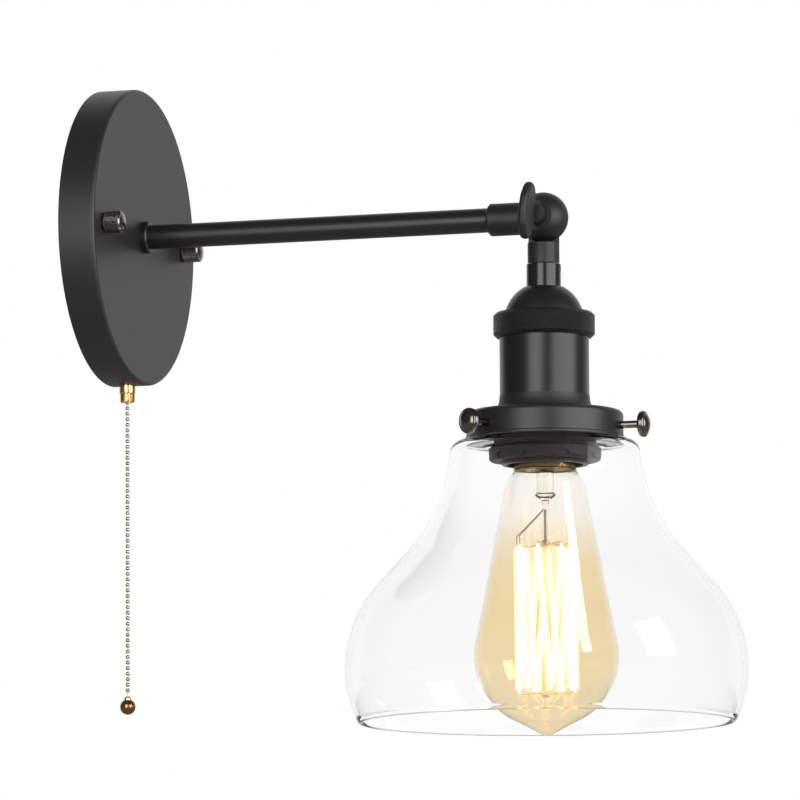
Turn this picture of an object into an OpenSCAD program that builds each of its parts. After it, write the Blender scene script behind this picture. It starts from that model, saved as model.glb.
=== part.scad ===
// Wall sconce with a pull-chain switch, a knuckle-jointed arm and a clear bell glass shade.
// Millimetres. The wall is the plane y = 0, +Z is up, and the arm runs along -Y.
// The origin is the centre of the canopy's back face.

/* [Canopy] */
// Diameter of the round wall canopy
canopy_d = 120; // [110:1:160]
// Depth of the canopy from the wall to its front face
canopy_depth = 15; // [14.5:0.5:22]
// Sheet thickness of the canopy
canopy_wall = 1.2; // [0.8:0.1:1.6]
// Outer radius of the rolled edge round the front face
canopy_edge_r = 1.5; // [1.4:0.1:3]

/* [Mounting] */
// Distance between the two mounting studs
stud_spacing = 93; // [88:1:96]
// Thread diameter of the mounting studs
stud_d = 4; // [3:0.1:5]
// Length of the mounting bracket
bracket_l = 106; // [104:1:110]
// Height of the mounting bracket
bracket_h = 24; // [20:1:30]
// Thickness of the mounting bracket
bracket_t = 1.6; // [1.2:0.1:2]
// Distance between the two junction-box screw slots
slot_spacing = 69.9; // [66:0.1:72]
// Length of each slot, end to end
slot_l = 12; // [8:0.5:13]
// Width of each slot
slot_w = 4.6; // [3.5:0.1:5.5]
// Diameter of the bracket's hole for the supply wires
wire_hole_d = 19; // [16:0.5:20]
// Diameter of the knurled barrel nuts on the canopy's face
cap_nut_d = 8.7; // [7.6:0.1:10]
// Height of the knurled barrel nuts
cap_nut_h = 7.4; // [6.5:0.1:10]

/* [Arm] */
// Distance from the wall to the knuckle's pivot
arm_reach = 183.5; // [120:0.5:300]
// Outer diameter of the arm tube
tube_d = 9.8; // [9:0.1:10.4]
// Wall thickness of the arm tube
tube_wall = 1; // [0.7:0.1:1.2]
// Diameter of the collar where the arm meets the canopy
collar_d = 13; // [12:0.5:16]
// Thickness of that collar
collar_t = 2.7; // [2:0.1:5]

/* [Knuckle] */
// Diameter of the split knuckle ball
ball_d = 20.1; // [19:0.1:22]
// Diameter of the ferrule that takes the arm tube
ferrule_d = 13; // [12.4:0.1:13.4]
// Distance from the pivot to the ferrule's open end
ferrule_l = 22.4; // [20:0.1:30]
// Diameter of the stem below the ball
stem_d = 12.7; // [12:0.1:13.4]
// Distance from the pivot to the stem's lower end
stem_l = 18.5; // [16:0.1:26]
// Thread diameter of the pivot screw
pivot_d = 5; // [4:0.1:5.6]
// Height of the wing screw's oval paddle
paddle_h = 22.8; // [20:0.1:26]
// How far the paddle stands out from its hub, along the pivot
paddle_w = 15; // [10:0.1:16]
// Thickness of the paddle
paddle_t = 3.4; // [3:0.1:5]
// Turn of the paddle about the pivot
paddle_turn = 6; // [-90:1:90]

/* [Socket] */
// Diameter of the coupling below the stem
coupling_d = 13.7; // [13:0.1:16]
// Height of that coupling
coupling_h = 9.6; // [7:0.1:12]
// Radius of the socket cap's dome
dome_r = 16; // [15:0.1:16.6]
// Height of the socket cap's dome that shows
dome_h = 10.2; // [9.6:0.1:11.5]
// Diameter of the knurled ring
ring_d = 40.4; // [39:0.1:44]
// Height of the knurled ring
ring_h = 9.8; // [8:0.1:14]
// Diameter of the socket shell
shell_d = 35.6; // [35:0.1:37]
// Height of the socket shell below the knurled ring
shell_h = 23.5; // [21:0.1:30]
// Sheet thickness of the socket shell
shell_wall = 0.6; // [0.4:0.1:0.8]
// Height of the flared collar above the shade holder
flare_h = 6.1; // [5:0.1:12]
// How far that collar flares out from the socket shell
flare_w = 1.9; // [1:0.1:5]
// Distance from the shade holder's top to the socket's open end
skirt_drop = 21.6; // [20.5:0.1:26]

/* [Shade holder] */
// Outer diameter of the shade holder
holder_d = 62.4; // [60.6:0.1:68]
// Height of the shade holder
holder_h = 11.3; // [10.6:0.1:14]
// Sheet thickness of the shade holder
holder_wall = 1.2; // [0.8:0.1:1.5]
// Turn of the shade holder and its thumbscrews about the lamp's axis
holder_turn = -0.3; // [-60:0.1:60]
// Shank diameter of a thumbscrew
thumb_d = 3; // [2.5:0.1:3.5]
// Diameter of a thumbscrew's round head
thumb_head_d = 10.4; // [8:0.1:12]
// Distance from the lamp's axis to the end of a thumbscrew's head
thumb_reach = 43.4; // [42.5:0.1:50]
// Diameter of the ring nut that clamps the shade holder
nut_ring_d = 44.6; // [42:0.1:46]
// Height of the ring nut's flange
nut_ring_h = 5.6; // [4:0.1:7]

/* [Glass shade] */
// Diameter of the glass lip inside the shade holder
lip_d = 57.2; // [55:0.1:57.4]
// Thickness of the shade's glass
glass_t = 2.2; // [1.6:0.1:2.4]
// Diameter of the shade at its belly
belly_d = 159.6; // [150:0.2:175]
// Distance from the shade holder's bottom to the belly
belly_drop = 91; // [88:0.5:100]
// Distance from the belly down to the rim
rim_drop = 20.8; // [10:0.1:30]
// Radius of the belly's curve above its widest point
belly_r = 50; // [46:0.5:54]
// Radius of the belly's curve below its widest point
rim_r = 45.4; // [40:0.5:70]
// Slope of the flank between neck and belly, from the vertical
flank_a = 42.2; // [40:0.2:45]
// Length of the straight flank
flank_l = 16; // [12:0.5:20]
// Radius of the hollow curve above the flank
waist_r = 72.8; // [68:0.5:80]
// Radius of the rounded shoulder under the shade holder
shoulder_r = 5; // [4:0.1:6]

/* [Bulb] */
// Diameter of the bulb
bulb_d = 57.4; // [50:0.2:60]
// Distance from the bulb cap's rim to the centre of its round end
bulb_l = 73.6; // [70:0.2:80]
// Slope of the bulb's side, from the vertical
bulb_a = 11.3; // [10.8:0.1:11.6]
// Length of the pointed tip below the round end
bulb_tip = 2.9; // [2:0.1:5]
// Thickness of the bulb's glass
bulb_t = 0.7; // [0.5:0.1:1]
// Diameter of the bulb cap's thread
thread_d = 26.1; // [25.6:0.1:26.4]
// Length of the filament's legs
filament_l = 56.4; // [50:0.2:60]
// Number of hooks at the lower end of the filament cage
hook_n = 7; // [3:1:8]

/* [Pull chain] */
// Distance from the wall to the chain
chain_out = 7.4; // [7.2:0.1:8]
// Length of the chain below the nozzle
chain_l = 119; // [60:1:200]
// Diameter of a bead
bead_d = 1.7; // [1.4:0.1:1.8]
// Distance from one bead to the next
bead_pitch = 2.24; // [2:0.02:2.8]
// Diameter of the ball at the chain's end
end_ball_d = 6.3; // [5:0.1:8]
// Diameter of the brass nozzle
nozzle_d = 6.5; // [6:0.1:7]
// How far the nozzle stands out below the canopy
nozzle_h = 7; // [5:0.1:12]
// Travel of the pull switch
pull_travel = 9; // [6:0.5:9]

/* [Hidden] */

$fn = 96;
eps = 0.01;
// Clearances: in a threaded or seated pair, in a running pair and between loose faces
seat_gap = 0.05;
run_gap = 0.08;
loose_gap = 0.3;
face_gap = 0.04;
arc_steps = 10;

// Colours
satin_black = [0.13, 0.13, 0.13];
black_nickel = [0.22, 0.2, 0.19];
steel = [0.72, 0.73, 0.74];
brass = [0.8, 0.6, 0.28];
copper = [0.78, 0.5, 0.36];
clear_glass = [0.85, 0.92, 0.93, 0.35];
amber_glass = [0.93, 0.8, 0.5, 0.45];
porcelain = [0.93, 0.92, 0.88];
phenolic = [0.1, 0.09, 0.09];

// Canopy and mounting
canopy_r = canopy_d / 2;
stud_x = stud_spacing / 2;
stud_nut_t = 3.2;
stud_nut_af = 7;
stud_in_nut = 5;
cap_nut_chamfer = 0.5;
ground_x = 17;
ground_z = -bracket_h / 2 + 5;
ground_d = 3.5;
ground_head_d = 7.4;
ground_head_t = 2.2;
lock_washer_t = 1;
lock_washer_d = 17;
lock_nut_t = 3;
lock_nut_af = 14;
canopy_floor = canopy_depth - canopy_wall;
tube_start = canopy_floor - lock_washer_t - lock_nut_t - 1.5;

// Arm and knuckle
tube_r = tube_d / 2;
tube_bore_r = tube_r - tube_wall;
tube_end = arm_reach - ferrule_l + 9.5;
ferrule_chamfer = 0.9;
ball_r = ball_d / 2;
half_gap = 0.5;
ball_clear = 0.35;
knuckle_root = 2;
sweep_r = ball_r + ball_clear;
wing_flat_x = 8.1;
wing_washer_t = 0.8;
wing_washer_d = 10.4;
wing_hub_d = 8.4;
wing_hub_l = 6.4;
wing_x = wing_flat_x + wing_washer_t + face_gap;
paddle_r = paddle_w / 2;
paddle_edge = paddle_t / 2 - 0.2;
paddle_reach = paddle_h / 2 - paddle_r * paddle_r / (paddle_h / 2);
pivot_end_x = ball_r - 2.2;
lead_bore_r = 3.2;
bore_stop = 3.6;

// Heights down the lamp, from the pivot
coupling_z = -stem_l;
cap_z = coupling_z - coupling_h;
grub_r = 1.25;
grub_drop = 2.2;
dome_ledge = 1.3;
dome_cut_r = coupling_d / 2 + dome_ledge;
dome_centre_z = cap_z - sqrt(dome_r * dome_r - dome_cut_r * dome_cut_r);
ring_z = cap_z - dome_h;
shell_z = ring_z - ring_h;
flare_z = shell_z - shell_h;
holder_z = flare_z - flare_h;
holder_low_z = holder_z - holder_h;
skirt_z = holder_z - skirt_drop;

// Socket
shell_r = shell_d / 2;
ring_r = ring_d / 2;
ring_chamfer = 1.2;
cap_wall = 1.2;
cap_flange_t = 1.2;
ring_lip_t = 1.5;
cap_flange_z = ring_z - ring_lip_t;
cap_flange_r = shell_r - 0.2;
shell_top_z = cap_flange_z - cap_flange_t - face_gap;
nipple_in = 6;
nipple_top_z = coupling_z + nipple_in;
nipple_r = tube_r;
nipple_bore_r = 3.7;
nipple_nut_t = 2.6;
nipple_nut_af = 13;
nipple_out = 2;
nipple_low_z = cap_z - cap_wall - nipple_nut_t - nipple_out;
skirt_r = shell_r - shell_wall - 0.2;
skirt_wall = 1.9;
skirt_top_z = shell_z - 7;
base_t = 9;
base_gap = 0.2;
base_r = skirt_r - skirt_wall - base_gap;
base_ledge_t = 2;
screw_shell_wall = 0.4;
screw_shell_in_r = thread_d / 2 + 0.25;
terminal_x = 9.2;
terminal_d = 3.4;
terminal_l = base_t + base_ledge_t - 1;
terminal_head_d = terminal_d + 2.6;
terminal_head_t = 1.8;
terminal_slot = 0.8;
flare_curve_r = (flare_w * flare_w + flare_h * flare_h) / (2 * flare_w);
flare_step = 0.15;

// Shade holder
holder_r = holder_d / 2;
holder_edge_r = 2.2;
holder_bead = 0.4;
thumb_n = 3;
thumb_z = holder_z - holder_h * 0.58;
thumb_head_t = 4.2;
thumb_neck_r = thumb_d / 2 + 0.5;
lip_r = lip_d / 2;
lip_top_z = holder_z - holder_wall - 0.4;
lip_h = 2.2;
groove_r = lip_r - 1.4;
thumb_tip = groove_r + loose_gap;
nut_sleeve_r = 20.2;
nut_flange_z = skirt_z + 7.2;
nut_notch_n = 10;
nut_notch_w = 4.2;
nut_notch_d = 1;
nut_chamfer = 0.8;

// Glass shade
belly_x = belly_d / 2;
belly_z = holder_low_z - belly_drop;
rim_a = asin(rim_drop / rim_r);
shade_top_z = holder_low_z - loose_gap;

// Bulb
bulb_z = skirt_z - 2.1;
bulb_r = bulb_d / 2;
bulb_centre_z = bulb_z - bulb_l;
bulb_low_z = bulb_centre_z - bulb_r;
bulb_cap_r = 12.3;
bulb_cap_h = 25;
bulb_cap_wall = 0.35;
insulator_h = 2.5;
bulb_cap_top_z = bulb_z + bulb_cap_h - insulator_h;
contact_r = 3.3;
thread_pitch = 3.63;
thread_turns = 4;
thread_low_z = bulb_z + 6;
thread_depth = 0.8;
bulb_neck_r = 12.6;
stem_tube_r = 3.4;
dish_z = bulb_z - 10;
pinch_z = dish_z - 6.2;
cage_top_z = bulb_z - 31.1;
cage_low_z = cage_top_z - filament_l;
cage_n = 2 * hook_n + 1;
cage_turn = 133;
cage_top_r = 11.4;
cage_low_r = 11.7;
hub_r = 1.5;
hub_h = 2.4;
wire_r = 0.25;
hook_rise = 1;
lead_in_r = 1.1;
lead_in_rise = 3.8;
lead_in_turn = 20;
filament_r = 0.3;
rod_r = 0.7;

// Switch and pull chain
switch_w = 24;
switch_t = 11;
switch_wall = 1.1;
switch_low_z = -canopy_r + canopy_wall + 3.2;
switch_top_z = switch_low_z + 27;
switch_back = chain_out - switch_t / 2;
nozzle_top_z = switch_low_z + switch_wall + 1.4;
nozzle_low_z = -canopy_r - nozzle_h;
nozzle_bore_r = 1.3;
nozzle_slot_n = 8;
nozzle_slot_w = 0.8;
nozzle_step = 0.35;
nozzle_thread_r = nozzle_d / 2 - nozzle_step;
nozzle_nut_af = 9;
nozzle_nut_t = 2;
plunger_r = nozzle_bore_r - run_gap;
flange_r = 3.4;
flange_t = 1.2;
plunger_top_z = switch_top_z - switch_wall - 1;
flange_z = plunger_top_z - 3;
plunger_low_z = nozzle_top_z - 1 + face_gap;
spring_r = 2.5;
spring_wire_r = 0.3;
spring_turns = 7;
spring_steps = 14;
spring_low_z = nozzle_top_z + face_gap + spring_wire_r;
spring_top_z = flange_z - flange_t - spring_wire_r - face_gap;
ratchet_x = 7.2;
ratchet_r = 3;
ratchet_t = 3;
ratchet_teeth = 8;
ratchet_z = (switch_top_z + switch_low_z) / 2;
ratchet_pin_r = 0.8;
blade_x = 7;
blade_w = 3;
blade_t = 1;
blade_l = 8.4;
blade_top_z = switch_top_z + 3.4;
chain_top_z = nozzle_low_z;
chain_low_z = chain_top_z - chain_l;
bead_n = floor(chain_l / bead_pitch - 0.5);
tail_n = floor((plunger_low_z - chain_top_z) / bead_pitch);
link_r = 0.35;
connector_r = 1.4;
connector_h = 1.5;
end_ball_z = chain_low_z - connector_h - end_ball_d / 2 + 0.5;

// Leads
lead_r = 0.95;
elbow = 0.08;
lead_side = 1.25;
lead_w = canopy_depth / 2;
lead_end = arm_reach - sweep_r - 0.5;
connector_x = 27;
connector_z = 27;
connector_l = 16;
connector_d = 9;
connector_bore_r = 1.6;
connector_mouth_x = connector_x - connector_l / 2;

// Points of an arc about c, from angle a0 to a1
function arc(c, r, a0, a1, n = arc_steps) =
    [for (i = [0:n]) let (a = a0 + (a1 - a0) * i / n) [c[0] + r * cos(a), c[1] + r * sin(a)]];
function reversed(list) = [for (i = [len(list) - 1:-1:0]) list[i]];

// Puts a shape drawn along +Z on the arm's axis, a distance out from the wall
module out_from_wall(w = 0) {
    rotate([90, 0, 0]) translate([0, 0, w]) children();
}

module ring(outer_r, inner_r, h) {
    difference() {
        cylinder(r = outer_r, h = h);
        translate([0, 0, -eps]) cylinder(r = inner_r, h = h + 2 * eps);
    }
}

module hex(af, h) {
    rotate(30) cylinder(d = af / cos(30), h = h, $fn = 6);
}

// A round rod between two points
module rod(a, b, r) {
    v = b - a;
    l = norm(v);
    translate(a)
        rotate([0, acos(v[2] / l), atan2(v[1], v[0])])
            cylinder(r = r, h = l, $fn = 24);
}

// An insulated wire through a list of points
module lead(points, r = lead_r) {
    for (i = [0:len(points) - 2]) rod(points[i], points[i + 1], r);
    for (i = [1:len(points) - 2]) translate(points[i]) sphere(r = r + elbow, $fn = 24);
}

// The wall canopy is a spun pan with a rolled front edge
module canopy() {
    r_in = canopy_edge_r - canopy_wall;
    outer = arc([canopy_r - canopy_edge_r, canopy_depth - canopy_edge_r], canopy_edge_r, 0, 90);
    inner = arc([canopy_r - canopy_edge_r, canopy_depth - canopy_edge_r], r_in, 90, 0);
    color(satin_black) difference() {
        out_from_wall() difference() {
            rotate_extrude($fn = 180)
                polygon(concat([[canopy_r, 0]], outer, [[0, canopy_depth], [0, canopy_floor]],
                    inner, [[canopy_r - canopy_wall, 0]]));
            translate([0, 0, canopy_floor - 1]) cylinder(r = tube_r + seat_gap, h = canopy_wall + 2);
            for (s = [-1, 1])
                translate([s * stud_x, 0, canopy_floor - 1])
                    cylinder(r = stud_d / 2 + loose_gap, h = canopy_wall + 2);
        }
        translate([0, -chain_out, -canopy_r - 1])
            cylinder(r = nozzle_thread_r + seat_gap, h = canopy_wall + 3);
    }
}

module mounting_bracket() {
    color(steel) out_from_wall() difference() {
        translate([-bracket_l / 2, -bracket_h / 2, 0]) cube([bracket_l, bracket_h, bracket_t]);
        translate([0, 0, -1]) cylinder(d = wire_hole_d, h = bracket_t + 2);
        for (s = [-1, 1]) {
            translate([s * stud_x, 0, -1]) cylinder(r = stud_d / 2 + seat_gap, h = bracket_t + 2);
            for (e = [-1, 1])
                translate([s * slot_spacing / 2 + e * (slot_l - slot_w) / 2, 0, -1])
                    cylinder(d = slot_w, h = bracket_t + 2);
            translate([s * slot_spacing / 2 - (slot_l - slot_w) / 2, -slot_w / 2, -1])
                cube([slot_l - slot_w, slot_w, bracket_t + 2]);
        }
        translate([ground_x, ground_z, -1]) cylinder(d = ground_d + 2 * seat_gap, h = bracket_t + 2);
    }
}

module mounting_studs() {
    color(steel) for (s = [-1, 1])
        translate([s * stud_x, 0, 0]) out_from_wall()
            cylinder(d = stud_d, h = canopy_depth + stud_in_nut);
}

module stud_nuts() {
    color(steel) for (s = [-1, 1])
        translate([s * stud_x, 0, 0]) out_from_wall(bracket_t) difference() {
            hex(stud_nut_af, stud_nut_t);
            translate([0, 0, -1]) cylinder(r = stud_d / 2 + seat_gap, h = stud_nut_t + 2);
        }
}

// The barrel nuts have a low domed end inside a raised rim
module cap_nuts() {
    r = cap_nut_d / 2;
    c = cap_nut_chamfer;
    dome = 0.7;
    dome_span = r - 1.1;
    dome_ball = (dome_span * dome_span + dome * dome) / (2 * dome);
    color(black_nickel) for (s = [-1, 1])
        translate([s * stud_x, 0, 0]) out_from_wall(canopy_depth) difference() {
            rotate_extrude()
                polygon(concat([[0, 0], [r - c, 0], [r, c], [r, cap_nut_h - c], [r - c, cap_nut_h],
                    [dome_span, cap_nut_h]],
                    arc([0, cap_nut_h + dome - dome_ball], dome_ball,
                        90 - asin(dome_span / dome_ball), 90)));
            translate([0, 0, -1]) cylinder(r = stud_d / 2 + seat_gap, h = stud_in_nut + 1 + seat_gap);
        }
}

module ground_screw() {
    head_z = bracket_t + 2 * lead_r + 0.2;
    drive_w = 1.2;
    drive_depth = 1;
    color([0.2, 0.5, 0.25]) translate([ground_x, 0, ground_z]) out_from_wall() difference() {
        union() {
            cylinder(d = ground_d, h = head_z + ground_head_t / 3);
            translate([0, 0, head_z]) cylinder(d = ground_head_d, h = ground_head_t);
        }
        translate([-ground_head_d, -drive_w / 2, head_z + ground_head_t - drive_depth])
            cube([2 * ground_head_d, drive_w, 2 * drive_depth]);
    }
}

module arm_lock_washer() {
    color(steel) out_from_wall(canopy_floor - lock_washer_t) difference() {
        cylinder(d = lock_washer_d, h = lock_washer_t);
        translate([0, 0, -1]) cylinder(r = tube_r + seat_gap, h = lock_washer_t + 2);
        for (a = [0:30:330])
            rotate(a) translate([lock_washer_d / 2 - 1, -0.5, -1]) cube([3, 1, lock_washer_t + 2]);
    }
}

module arm_lock_nut() {
    color(steel) out_from_wall(canopy_floor - lock_washer_t - lock_nut_t) difference() {
        hex(lock_nut_af, lock_nut_t);
        translate([0, 0, -1]) cylinder(r = tube_r + seat_gap, h = lock_nut_t + 2);
    }
}

module arm_collar() {
    c = 0.5;
    color(satin_black) out_from_wall(canopy_depth) rotate_extrude()
        polygon([[tube_r + seat_gap, 0], [collar_d / 2, 0], [collar_d / 2, collar_t - c],
            [collar_d / 2 - c, collar_t], [tube_r + seat_gap, collar_t]]);
}

module arm_tube() {
    color(satin_black) out_from_wall(tube_start) ring(tube_r, tube_bore_r, tube_end - tube_start);
}

// The switch case is a small box, open towards the wall, where its cover goes
module switch_case() {
    h = switch_top_z - switch_low_z;
    color(phenolic) difference() {
        translate([-switch_w / 2, -switch_back - switch_t, switch_low_z])
            cube([switch_w, switch_t - switch_wall, h]);
        translate([-switch_w / 2 + switch_wall, -switch_back - switch_t + switch_wall,
            switch_low_z + switch_wall])
            cube([switch_w - 2 * switch_wall, switch_t, h - 2 * switch_wall]);
        translate([0, -chain_out, switch_low_z - 1])
            cylinder(r = nozzle_thread_r + seat_gap, h = switch_wall + 2);
        for (s = [-1, 1])
            translate([s * blade_x - blade_w / 2 - 0.1, -chain_out - blade_t / 2 - seat_gap,
                switch_top_z - switch_wall - 1])
                cube([blade_w + 0.2, blade_t + 2 * seat_gap, switch_wall + 2]);
        translate([ratchet_x, -switch_back, ratchet_z]) out_from_wall(0)
            cylinder(r = ratchet_pin_r + run_gap, h = 3 * switch_t, center = true);
    }
}

module switch_cover() {
    color(phenolic) difference() {
        translate([-switch_w / 2, -switch_back - switch_wall + face_gap, switch_low_z])
            cube([switch_w, switch_wall - face_gap, switch_top_z - switch_low_z]);
        translate([ratchet_x, -switch_back, ratchet_z]) out_from_wall(0)
            cylinder(r = ratchet_pin_r + run_gap, h = 3 * switch_t, center = true);
    }
}

module switch_terminals() {
    color(brass) for (s = [-1, 1])
        translate([s * blade_x - blade_w / 2, -chain_out - blade_t / 2, blade_top_z - blade_l])
            cube([blade_w, blade_t, blade_l]);
}

// The ratchet wheel turns one tooth with each pull
module switch_ratchet() {
    tooth_a = 360 / ratchet_teeth;
    outline = [for (i = [0:ratchet_teeth - 1], k = [0, 1])
        let (r = k == 0 ? ratchet_r : ratchet_r - 0.8, a = tooth_a * (i + 0.1 * k))
            [r * cos(a), r * sin(a)]];
    color(brass) translate([ratchet_x, 0, ratchet_z]) {
        out_from_wall(chain_out - ratchet_t / 2) linear_extrude(ratchet_t) polygon(outline);
        out_from_wall(switch_back + 0.3) cylinder(r = ratchet_pin_r, h = switch_t - 0.6);
    }
}

module switch_plunger() {
    color(steel) translate([0, -chain_out, 0]) {
        translate([0, 0, plunger_low_z])
            cylinder(r = plunger_r, h = plunger_top_z - plunger_low_z);
        translate([0, 0, flange_z - flange_t]) cylinder(r = flange_r, h = flange_t);
    }
}

// Rings of a round wire that winds up a helix, with dead level ends
function coil_point(i, n) =
    let (t = i / n, a = 360 * spring_turns * t)
        [spring_r * cos(a), spring_r * sin(a), spring_low_z + (spring_top_z - spring_low_z) * t];
module switch_spring() {
    sides = 6;
    n = spring_turns * spring_steps;
    points = [for (i = [0:n], k = [0:sides - 1])
        let (p = coil_point(i, n), a = 360 * spring_turns * i / n, b = 360 * k / sides,
            out = spring_wire_r * cos(b), up = spring_wire_r * sin(b))
            [p[0] + out * cos(a), p[1] + out * sin(a), p[2] + up]];
    sidewalls = [for (i = [0:n - 1], k = [0:sides - 1], h = [0, 1])
        let (k2 = (k + 1) % sides, a = i * sides, b = (i + 1) * sides)
            h == 0 ? [a + k, a + k2, b + k] : [b + k, a + k2, b + k2]];
    caps = [[for (k = [sides - 1:-1:0]) k], [for (k = [0:sides - 1]) n * sides + k]];
    color(steel) translate([0, -chain_out, 0])
        polyhedron(points = points, faces = concat([for (f = sidewalls) reversed(f)],
            [for (f = caps) reversed(f)]));
}

// The nozzle is a threaded tube with a slotted outer end
module switch_nozzle() {
    r = nozzle_d / 2;
    slot_h = nozzle_h * 0.5;
    color(brass) translate([0, -chain_out, 0]) difference() {
        union() {
            translate([0, 0, -canopy_r - seat_gap])
                cylinder(r = nozzle_thread_r, h = nozzle_top_z + canopy_r + seat_gap);
            rotate_extrude(convexity = 4)
                polygon([[0, nozzle_low_z], [r - 2 * nozzle_step, nozzle_low_z],
                    [r - nozzle_step, nozzle_low_z + 0.6], [r - nozzle_step, nozzle_low_z + slot_h],
                    [r, nozzle_low_z + slot_h + 0.4], [r, -canopy_r - seat_gap],
                    [0, -canopy_r - seat_gap]]);
        }
        translate([0, 0, nozzle_low_z - 1])
            cylinder(r = nozzle_bore_r, h = nozzle_top_z - nozzle_low_z + 2);
        for (i = [0:nozzle_slot_n - 1])
            rotate(360 / nozzle_slot_n * i)
                translate([r - 1.2, -nozzle_slot_w / 2, nozzle_low_z - 1])
                    cube([2, nozzle_slot_w, slot_h + 1]);
    }
}

module nozzle_nut() {
    color(brass) translate([0, -chain_out, -canopy_r + canopy_wall + 0.6]) difference() {
        hex(nozzle_nut_af, nozzle_nut_t);
        translate([0, 0, -1]) cylinder(r = nozzle_thread_r + seat_gap, h = nozzle_nut_t + 2);
    }
}

// The short run of chain inside the nozzle, hooked to the plunger
module chain_tail() {
    color(steel) translate([0, -chain_out, 0]) {
        translate([0, 0, chain_top_z])
            cylinder(r = link_r, h = plunger_low_z - chain_top_z - face_gap, $fn = 16);
        for (i = [0:tail_n - 1])
            translate([0, 0, chain_top_z + bead_pitch * i]) sphere(d = bead_d, $fn = 24);
    }
}

module pull_chain() {
    color(steel) translate([0, -chain_out, 0]) {
        translate([0, 0, chain_low_z])
            cylinder(r = link_r, h = chain_l - bead_d / 2 - seat_gap, $fn = 16);
        for (i = [1:bead_n])
            translate([0, 0, chain_top_z - bead_pitch * i]) sphere(d = bead_d, $fn = 24);
    }
}

module chain_connector() {
    color(brass) translate([0, -chain_out, chain_low_z - connector_h])
        rotate_extrude()
            polygon([[0, 0], [connector_r, 0], [connector_r, connector_h * 0.6],
                [connector_r * 0.6, connector_h], [0, connector_h]]);
}

module chain_ball() {
    color([0.45, 0.3, 0.18]) translate([0, -chain_out, end_ball_z]) intersection() {
        sphere(d = end_ball_d);
        translate([0, 0, -end_ball_d / 2 - 0.5])
            cylinder(d = end_ball_d + 1, h = end_ball_d);
    }
}

module live_lead() {
    w = -lead_w;
    color([0.08, 0.08, 0.08])
        lead([[-connector_mouth_x - 6, w, connector_z], [-connector_mouth_x + 2, w, connector_z],
            [-14, w, connector_z - 5], [-13, w, 6], [-14, w, -16],
            [-blade_x, w, blade_top_z + 1.2]]);
}

module switched_lead() {
    w = -lead_w;
    color([0.08, 0.08, 0.08])
        lead([[blade_x, w, blade_top_z + 1.2], [9, w, -16], [4, -tube_start + 2.6, -5],
            [lead_side, -tube_start + 1, 0], [lead_side, -lead_end, 0]]);
}

module neutral_lead() {
    w = -lead_w;
    color([0.92, 0.92, 0.9])
        lead([[connector_mouth_x + 6, w, connector_z], [connector_mouth_x - 2, w, connector_z],
            [12, w, connector_z - 5],
            [-5, -tube_start + 1.5, 9], [-lead_side, -tube_start + 1, 0],
            [-lead_side, -lead_end, 0]]);
}

module ground_lead() {
    w = -bracket_t - lead_r - 0.1;
    color([0.15, 0.5, 0.2])
        lead([[ground_x + ground_d / 2 + lead_r + 0.2, w, ground_z], [ground_x + 8, w, ground_z],
            [ground_x + 14, -lead_w, ground_z - 4], [ground_x + 12, -lead_w, -24],
            [ground_x + 13, -lead_w, -34]]);
}

// Twist-on connectors for the joints with the building's wiring
module wire_connectors() {
    r = connector_d / 2;
    color([0.85, 0.45, 0.1]) for (s = [-1, 1])
        translate([s * connector_x, -lead_w, connector_z]) rotate([0, s * 90, 0])
            translate([0, 0, -connector_l / 2]) difference() {
                union() {
                    cylinder(r1 = r, r2 = r * 0.72, h = connector_l - 1);
                    translate([0, 0, connector_l - 1]) cylinder(r = r * 0.6, h = 1);
                }
                translate([0, 0, -1]) cylinder(r = connector_bore_r, h = connector_l - 3);
            }
}

// Ferrule and the near half of the split ball
module knuckle_arm_half() {
    color(satin_black) difference() {
        union() {
            difference() {
                out_from_wall(arm_reach - ferrule_l) rotate_extrude()
                    polygon([[0, 0], [ferrule_d / 2 - ferrule_chamfer, 0],
                        [ferrule_d / 2, ferrule_chamfer], [ferrule_d / 2, ferrule_l - knuckle_root],
                        [0, ferrule_l - knuckle_root]]);
                difference() {
                    translate([0, -arm_reach, 0]) sphere(r = sweep_r);
                    translate([-2 * ball_d - half_gap / 2, -arm_reach - ball_d, -ball_d])
                        cube(2 * ball_d);
                }
            }
            intersection() {
                translate([0, -arm_reach, 0]) sphere(r = ball_r);
                translate([-wing_flat_x, -arm_reach - ball_d, -ball_d])
                    cube([wing_flat_x - half_gap / 2, 2 * ball_d, 2 * ball_d]);
            }
        }
        out_from_wall(arm_reach - ferrule_l - 1)
            cylinder(r = tube_r + seat_gap, h = tube_end - arm_reach + ferrule_l + 1 + seat_gap);
        out_from_wall(arm_reach - ferrule_l)
            cylinder(r = lead_bore_r, h = ferrule_l - bore_stop);
        translate([-ball_d, -arm_reach, 0]) rotate([0, 90, 0])
            cylinder(r = pivot_d / 2 + run_gap, h = 2 * ball_d);
    }
}

// Stem and the far half of the split ball
module knuckle_lamp_half() {
    color(satin_black) translate([0, -arm_reach, 0]) difference() {
        union() {
            difference() {
                translate([0, 0, -stem_l]) cylinder(d = stem_d, h = stem_l - knuckle_root);
                translate([half_gap / 2 - 2 * ball_d, -ball_d, -sweep_r]) cube(2 * ball_d);
            }
            intersection() {
                rotate([90, 0, 180]) sphere(r = ball_r);
                translate([half_gap / 2, -ball_d, -ball_d]) cube(2 * ball_d);
            }
        }
        translate([0, 0, -stem_l - 1])
            cylinder(r = nipple_r + seat_gap, h = nipple_in + 1 + seat_gap);
        translate([0, 0, -stem_l]) cylinder(r = lead_bore_r, h = stem_l - bore_stop);
        translate([-ball_d, 0, 0]) rotate([0, 90, 0])
            cylinder(r = pivot_d / 2 + run_gap, h = ball_d + pivot_end_x + loose_gap);
    }
}

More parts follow.
